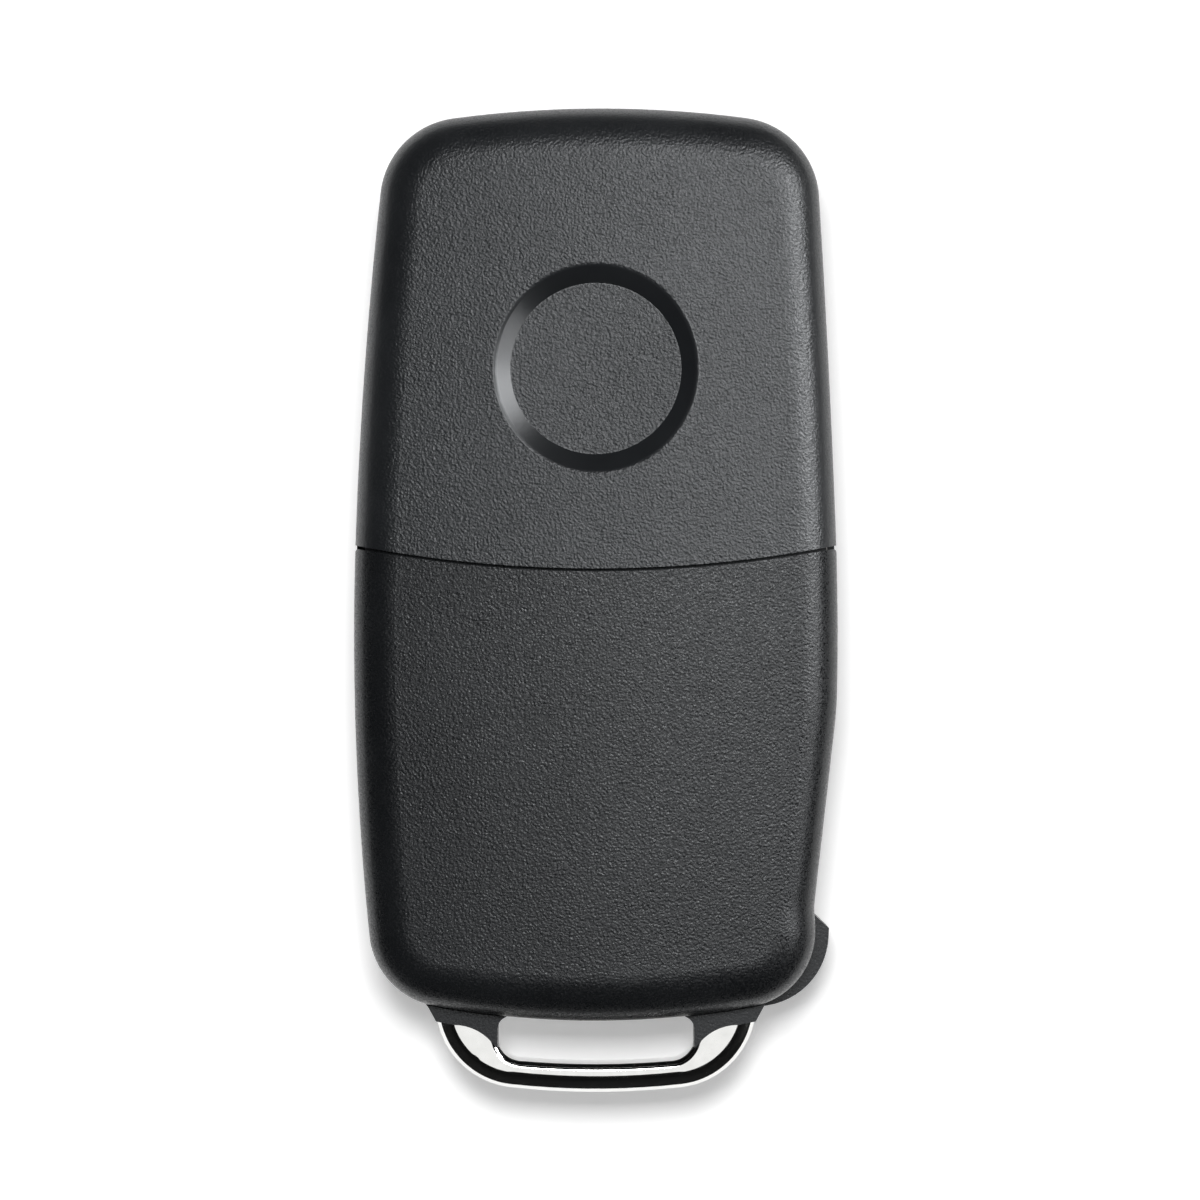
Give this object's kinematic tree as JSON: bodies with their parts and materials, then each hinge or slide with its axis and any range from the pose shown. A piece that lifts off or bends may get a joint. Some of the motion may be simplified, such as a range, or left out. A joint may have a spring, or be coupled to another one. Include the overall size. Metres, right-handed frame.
{
  "type": "key fob shell",
  "caption": "Empty car key fob case with a folding blade, bare round emblem seat in the back, lift-off battery cover, push buttons and a chrome key-ring loop.",
  "frame": {"origin": "centre of the footprint on the surface that the fob lies on, button face down", "axes": "+X to the blade side, +Y from the key-ring loop to the blade hub, +Z from the buttons to the back"},
  "size_m": [0.0398, 0.081, 0.016],
  "materials": {
    "casing": "spark-eroded fine leather grain, semi-matt black",
    "hub_plastic": "smooth semi-matt black",
    "button_plastic": "fine satin black with white printed signs",
    "chrome": "polished",
    "blade_steel": "satin nickel-plated, milled track",
    "pin_steel": "bright rolled",
    "spring_steel": "drawn wire",
    "screw_steel": "dark zinc",
    "mat_rubber": "soft silicone",
    "lens": "clear red"
  },
  "bodies": {
    "case": {"front_case": "casing", "rear_upper_case": "casing", "keyring_loop": "chrome", "button_bezel": "chrome", "button_membrane": "mat_rubber", "indicator_lens": "lens", "flip_spring": "spring_steel", "case_screw_left": "screw_steel", "case_screw_right": "screw_steel"},
    "blade": {"blade_hub": "hub_plastic", "key_blade": "blade_steel", "blade_pin": "pin_steel"},
    "release": {"release_button": "chrome", "lock_sleeve": "hub_plastic"},
    "lock": {"lock_button": "button_plastic"},
    "boot": {"boot_button": "button_plastic"},
    "unlock": {"unlock_button": "button_plastic"},
    "cover": {"battery_cover": "casing"}
  },
  "joints": [
    {"name": "blade_flip", "type": "hinge", "parent": "case", "child": "blade", "pos_m": [0.0092, 0.0308, 0.008], "axis": [0, 0, 1], "range_deg": [0, 180], "deforming": ["flip_spring"]},
    {"name": "release_press", "type": "slide", "parent": "case", "child": "release", "axis": [0, 0, 1], "range_m": [0, 0.0021], "stiffness_N_per_m": 600, "springref_m": -0.001, "deforming": ["flip_spring"]},
    {"name": "lock_press", "type": "slide", "parent": "case", "child": "lock", "axis": [0, 0, 1], "range_m": [0, 0.0006], "stiffness_N_per_m": 1000, "springref_m": -0.0005, "deforming": ["button_membrane"]},
    {"name": "boot_press", "type": "slide", "parent": "case", "child": "boot", "axis": [0, 0, 1], "range_m": [0, 0.0006], "stiffness_N_per_m": 1000, "springref_m": -0.0005, "deforming": ["button_membrane"]},
    {"name": "unlock_press", "type": "slide", "parent": "case", "child": "unlock", "axis": [0, 0, 1], "range_m": [0, 0.0006], "stiffness_N_per_m": 1000, "springref_m": -0.0005, "deforming": ["button_membrane"]},
    {"name": "cover_lift", "type": "slide", "parent": "case", "child": "cover", "axis": [0, 0, 1], "range_m": [0, 0.02]}
  ]
}
